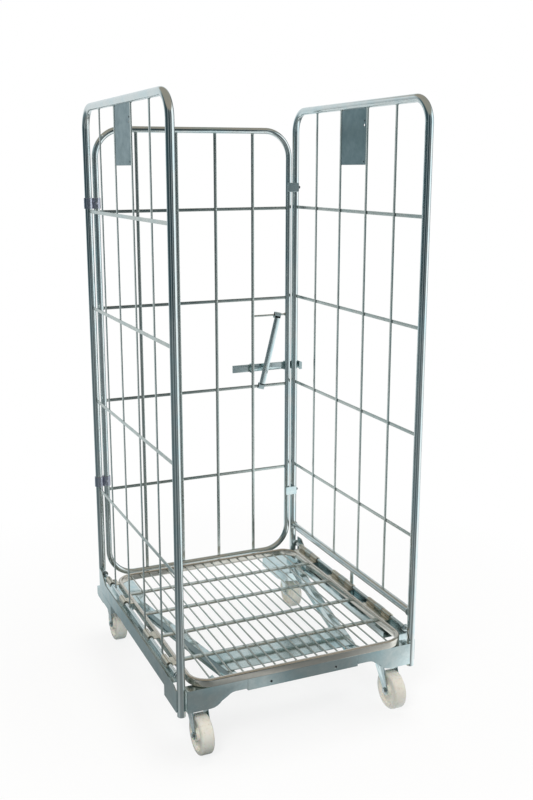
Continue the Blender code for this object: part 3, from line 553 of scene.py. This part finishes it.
# ---- Casters ----
def caster(word):
    """One swivel caster: wheel, axle bolt, fork, swivel race and top plate."""
    wheel_low, wheel_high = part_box(f"{word}_wheel")
    centre = (wheel_low + wheel_high) / 2
    radius = (wheel_high.z - wheel_low.z) / 2
    half = (wheel_high.x - wheel_low.x) / 2
    tread = half - 0.0012
    bore = 0.0073
    crown = arc((radius - 0.0070, tread - 0.0070), 0.0070, 0, 80, 7)
    upper = [(bore, half), (0.0150, half), (0.0158, half - 0.0008), (0.0172, 0.0112), (0.0190, 0.0100)]
    upper += [(0.0385, 0.0100), (0.0402, 0.0108), (0.0416, tread - 0.0008), (0.0424, tread)]
    upper += list(reversed(crown))
    section = upper + [(r, -h) for r, h in reversed(upper)]
    bm = bmesh.new()
    turned_ring(bm, section, centre, (1, 0, 0), sides=72)
    piece(f"{word}_nylon_wheel", bm, f"{word}_wheel", "nylon", [f"{word}_wheel"], sharp=40)

    axle_low, axle_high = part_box(f"{word}_axle")
    reach = (axle_high.x - axle_low.x) / 2
    bm = bmesh.new()
    for half_length, thickness, sides in ((reach - 0.004, 0.0045, 20), (0.0197, 0.0070, 24)):
        along = Vector((half_length, 0, 0))
        bar(bm, centre - along, centre + along, thickness, sides)
    for end in (-1, 1):
        face = centre + Vector((end * (reach - 0.0050), 0, 0))
        washer = [(0.0047, 0.0), (0.0088, 0.0), (0.0088, 0.0010), (0.0047, 0.0010)]
        turned_ring(bm, washer, face, (end, 0, 0), sides=28)
        head = [(0.0078, 0.0010), (0.0080, 0.0014), (0.0080, 0.0042), (0.0072, 0.0049), (0.0, 0.0050)]
        lathe(bm, head, face, (end, 0, 0), sides=6)
    piece(f"{word}_axle_bolt", bm, f"{word}_caster", "zinc_tube", [f"{word}_axle"], sharp=28)

    formed(f"{word}_fork", width=0.0007)
    fork_low, fork_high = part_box(f"{word}_fork")
    plate_low, plate_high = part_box(f"{word}_caster_plate")
    top = Vector(((plate_low.x + plate_high.x) / 2, (plate_low.y + plate_high.y) / 2, fork_high.z))
    bm = bmesh.new()
    race = [(0.0225, -0.0062), (0.0262, -0.0062), (0.0278, -0.0040)]
    race += [(0.0278, -0.0022), (0.0264, -0.0004), (0.0225, -0.0004)]
    turned_ring(bm, race, top, (0, 0, 1), sides=48)
    pin = [(0.0, -0.0098), (0.0048, -0.0096), (0.0068, -0.0080)]
    pin += [(0.0072, -0.0062), (0.0072, -0.0055), (0.0, -0.0055)]
    lathe(bm, pin, top, (0, 0, 1), sides=24)
    piece(f"{word}_swivel_race", bm, f"{word}_caster", "zinc_pressing")
    formed(f"{word}_caster_plate")


# ---- Small fittings ----
def fittings():
    """Rivets on the straps and label plates, gate stop pins, painted shade in the rail holes, and nuts on the
    rods' ends.
    """
    for word in ("upper", "lower"):
        low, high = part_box(f"{word}_hinge_strap")
        bm = bmesh.new()
        across = (low.x + high.x) / 2 + 0.010
        for y, out in ((low.y + 0.0016, -1), (high.y - 0.0016, 1)):
            dome(bm, (across, y, (low.z + high.z) / 2), (0, out, 0), 0.0040, 0.0022)
        piece(f"{word}_strap_rivet", bm, "hinge_straps", "hinge_strap")

        stop_low, stop_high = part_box(f"{word}_gate_stop")
        upright = middle("right_panel_frame")
        bm = bmesh.new()
        z = (stop_low.z + stop_high.z) / 2
        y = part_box("right_panel_frame")[1].y - 0.011
        start = Vector((upright.x + 0.010, y, z))
        head = [(0.0026, 0.0), (0.0026, 0.0022), (0.0046, 0.0024)]
        head += [(0.0046, 0.0052), (0.0036, 0.0062), (0.0, 0.0064)]
        lathe(bm, head, start, (1, 0, 0), sides=20)
        piece(f"{word}_stop_pin", bm, "base", "zinc_pressing", finish=DARK)

    for word in ("left", "right"):
        low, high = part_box(f"{word}_label_plate")
        bm = bmesh.new()
        for z in (low.z + 0.009, high.z - 0.034):
            dome(bm, (low.x + 0.0004, low.y + 0.010, z), (-1, 0, 0), 0.0030, 0.0014)
        piece(f"{word}_label_rivets", bm, "base", "label_plate", finish=DARK)

    # Painted shade: a dark disc just inside each rail hole stands in for the shade in the hole.
    rail_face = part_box("front_rail")[0].y
    bm = bmesh.new()
    for x in RAIL_HOLES_X:
        bar(bm, (x, rail_face + 0.0012, RAIL_HOLE_Z), (x, rail_face + 0.0029, RAIL_HOLE_Z), 0.0036, 20)
    piece("front_rail_hole_shade", bm, "base", "zinc_pressing", finish=DARK)

    for node in ("left_deck_rod", "right_hinge_rod"):
        low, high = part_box(node)
        centre = (low + high) / 2
        for word, end in (("front", -1), ("rear", 1)):
            bm = bmesh.new()
            at = centre + Vector((0, end * ((high.y - low.y) / 2 - 0.019), 0))
            nut = [(0.0052, 0.0), (0.0086, 0.0), (0.0092, 0.0006)]
            nut += [(0.0092, 0.0064), (0.0086, 0.0070), (0.0052, 0.0070)]
            turned_ring(bm, nut, at, (0, end, 0), sides=6)
            washer = [(0.0052, -0.0013), (0.0104, -0.0013), (0.0104, -0.0001), (0.0052, -0.0001)]
            turned_ring(bm, washer, at, (0, end, 0), sides=28)
            piece(f"{node}_{word}_nut", bm, "base", "zinc_tube", sharp=28)


def lever():
    """The latch lever: a flat strap with a folded loop at each end."""
    low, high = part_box("latch_lever")
    gate_low, gate_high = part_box("gate_mesh")
    pivot = Vector((LEVER_PIVOT_X, 0, GATE_BARS_Z[2]))
    top = Vector((LEVER_TOP_X, 0, SHORT_BAR_Z))
    run = (top - pivot).normalized()
    across = Vector((run.z, 0, -run.x))
    length = (top - pivot).length
    bm = bmesh.new()
    mid = low.y + LEVER_SHEET / 2
    ends = [Vector((p.x, mid, p.z)) for p in (pivot + run * 0.004, top - run * 0.004)]
    sweep(bm, ends, rounded(LEVER_HALF_WIDTH, LEVER_SHEET / 2, 0.0007, 2), (0, 1, 0))
    lower_back = gate_low.y + 2 * STRIP_SHEET - WELD + 0.0010
    loops = ((-0.0086, 0.0086, lower_back), (length - 0.0110, length + 0.0068, gate_high.y + 0.0010))
    for below, above, back in loops:
        front = low.y + LEVER_SHEET
        centre = pivot + run * (below + above) / 2
        centre.y = (front + back) / 2
        half_depth, half_height = (back - front) / 2, (above - below) / 2
        rows = []
        for outline in (
            rounded(half_depth + LEVER_SHEET, half_height + LEVER_SHEET, 0.0030, 5),
            rounded(half_depth, half_height, 0.0012, 5),
        ):
            for offset in (-LEVER_HALF_WIDTH, LEVER_HALF_WIDTH):
                places = [centre + Vector((0, u, 0)) + run * v + across * offset for u, v in outline]
                rows.append([bm.verts.new(place) for place in places])
        outer_a, outer_b, inner_a, inner_b = rows
        count = len(outer_a)
        for k in range(count):
            m = (k + 1) % count
            bm.faces.new((outer_a[k], outer_a[m], outer_b[m], outer_b[k]))
            bm.faces.new((inner_a[k], inner_b[k], inner_b[m], inner_a[m]))
            bm.faces.new((outer_a[k], inner_a[k], inner_a[m], outer_a[m]))
            bm.faces.new((outer_b[k], outer_b[m], inner_b[m], inner_b[k]))
    piece("latch_lever_strap", bm, "latch_lever", "zinc_pressing", ["latch_lever"])

    bm = bmesh.new()
    stud_x = pivot.x + (top.x - pivot.x) * (LATCH_Z - pivot.z) / (top.z - pivot.z)
    dome(bm, (stud_x, low.y - 0.0004, LATCH_Z), (0, -1, 0), 0.0058, 0.0024)
    piece("latch_stud_head", bm, "latch_bar", "zinc_pressing")


# ---- Studio ----
def pale(level):
    """A softbox's colour, slightly blue."""
    return (level * 0.93, level, level * 1.03)


def deep(level):
    """A dark flag's colour, teal."""
    return (level * 0.60, level, level * 1.15)


def round_room(tree, vector):
    """The studio's walls by compass angle: softboxes, dark flags between them and a white backdrop."""
    split = add(tree, "ShaderNodeSeparateXYZ")
    tree.links.new(vector, split.inputs[0])
    turn = add(tree, "ShaderNodeMath", operation="ARCTAN2")
    tree.links.new(split.outputs["X"], turn.inputs[0])
    tree.links.new(split.outputs["Y"], turn.inputs[1])
    place = spread(tree, turn.outputs[0], 0.0, 1.0, -math.pi, math.pi)
    walls = ramp(tree, place, [
        (0.00, pale(0.42)), (0.035, deep(0.10)), (0.060, deep(0.03)), (0.12, deep(0.08)), (0.15, pale(0.38)),
        (0.18, deep(0.10)), (0.26, deep(0.05)), (0.38, deep(0.16)), (0.43, pale(0.80)), (0.57, pale(0.85)),
        (0.62, pale(0.40)), (0.66, deep(0.05)), (0.71, pale(0.35)), (0.78, pale(1.30)), (0.87, pale(1.20)),
        (0.915, pale(0.50)), (0.935, deep(0.05)), (0.975, deep(0.04)), (1.00, pale(0.42)),
    ])
    return walls, split.outputs["Z"]


def studio():
    """The world: white to the camera, and the round room under a dull ceiling to everything else."""
    world = bpy.data.worlds.new("studio")
    bpy.context.scene.world = world
    world.use_nodes = True
    tree = world.node_tree
    background = tree.nodes["Background"]
    place = add(tree, "ShaderNodeTexCoord")
    walls, height = round_room(tree, place.outputs["Generated"])
    lid = ramp(tree, spread(tree, height, 0.0, 1.0, 0.0, 1.0), [
        (0.0, (0, 0, 0)), (0.45, (0, 0, 0)), (0.58, (1, 1, 1)), (1.0, (1, 1, 1)),
    ])
    colour = mix(tree, "MIX", lid, walls, CEILING_COLOUR)
    seen = add(tree, "ShaderNodeLightPath")
    shown = mix(tree, "MIX", seen.outputs["Is Camera Ray"], colour, WHITE)
    tree.links.new(shown, background.inputs["Color"])
    background.inputs["Strength"].default_value = 1.0


def area(name, place, target, size, power):
    """A rectangular lamp that lights the object but is not seen in its reflections."""
    data = bpy.data.lights.new(name, "AREA")
    data.shape = "RECTANGLE"
    data.size, data.size_y = size
    data.energy = power
    lamp = bpy.data.objects.new(name, data)
    lamp.location = place
    lamp.rotation_euler = (Vector(target) - Vector(place)).to_track_quat("-Z", "Y").to_euler()
    lamp.visible_glossy = False
    bpy.context.scene.collection.objects.link(lamp)


def floor():
    """The pale floor: shadowed near the object, and glowing like the studio further out."""
    bm = bmesh.new()
    bmesh.ops.create_circle(bm, cap_ends=True, segments=96, radius=9.0)
    mesh = bpy.data.meshes.new("studio_floor")
    bm.to_mesh(mesh)
    bm.free()
    made = bpy.data.materials.new("white_floor")
    made.use_nodes = True
    tree = made.node_tree
    tree.nodes.remove(tree.nodes["Principled BSDF"])
    place = add(tree, "ShaderNodeTexCoord")
    length = add(tree, "ShaderNodeVectorMath", operation="LENGTH")
    tree.links.new(place.outputs["Object"], length.inputs[0])
    far = spread(tree, length.outputs["Value"], 0.80, 1.0, 0.4, 1.6)
    diffuse = add(tree, "ShaderNodeBsdfDiffuse", Color=(0.9, 0.9, 0.9, 1.0))
    glow = add(tree, "ShaderNodeEmission", Strength=1.0)
    seen = add(tree, "ShaderNodeLightPath")
    walls, _ = round_room(tree, place.outputs["Object"])
    reflected = mix(tree, "MIX", 0.88, FLOOR_REFLECTED, walls)
    shown = mix(tree, "MIX", seen.outputs["Is Camera Ray"], reflected, WHITE)
    tree.links.new(shown, glow.inputs["Color"])
    blend = tree.nodes.new("ShaderNodeMixShader")
    tree.links.new(far, blend.inputs[0])
    tree.links.new(diffuse.outputs[0], blend.inputs[1])
    tree.links.new(glow.outputs[0], blend.inputs[2])
    tree.links.new(blend.outputs[0], tree.nodes["Material Output"].inputs["Surface"])
    mesh.materials.append(made)
    obj = bpy.data.objects.new("studio_floor", mesh)
    obj.location.z = -0.0005
    bpy.context.scene.collection.objects.link(obj)


def camera():
    """The camera, at the photograph's angle."""
    data = bpy.data.cameras.new("camera")
    data.sensor_width = 36.0
    data.lens = 44.37
    data.shift_x = 0.0265
    data.shift_y = -0.0086
    eye = bpy.data.objects.new("camera", data)
    eye.location = (-1.087, -2.579, 1.506)
    yaw, pitch, roll = math.radians(22.93), math.radians(12.88), math.radians(0.21)
    eye.rotation_euler = Euler((math.pi / 2 - pitch, roll, -yaw), "XYZ")
    bpy.context.scene.collection.objects.link(eye)
    bpy.context.scene.camera = eye


# ---- The object ----
for hand, hand_word in ((-1, "left"), (1, "right")):
    panel(hand, hand_word)
gate()
straight_bars()
deck()
lever()
for caster_word in ("front_left", "front_right", "rear_left", "rear_right"):
    caster(caster_word)
fittings()
REBUILT = {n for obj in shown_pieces() for n in obj.get("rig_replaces", [])}
for cad_node in sorted(set(NODES) - REBUILT):
    formed(cad_node)

floor()
studio()
area("key_softbox", (-2.2, -2.6, 3.0), (0, 0, 0.8), (1.6, 1.6), 85)
area("top_softbox", (0.6, 0.4, 3.4), (0, 0, 0.6), (2.2, 2.2), 60)
camera()
bpy.context.scene.view_settings.view_transform = "Standard"
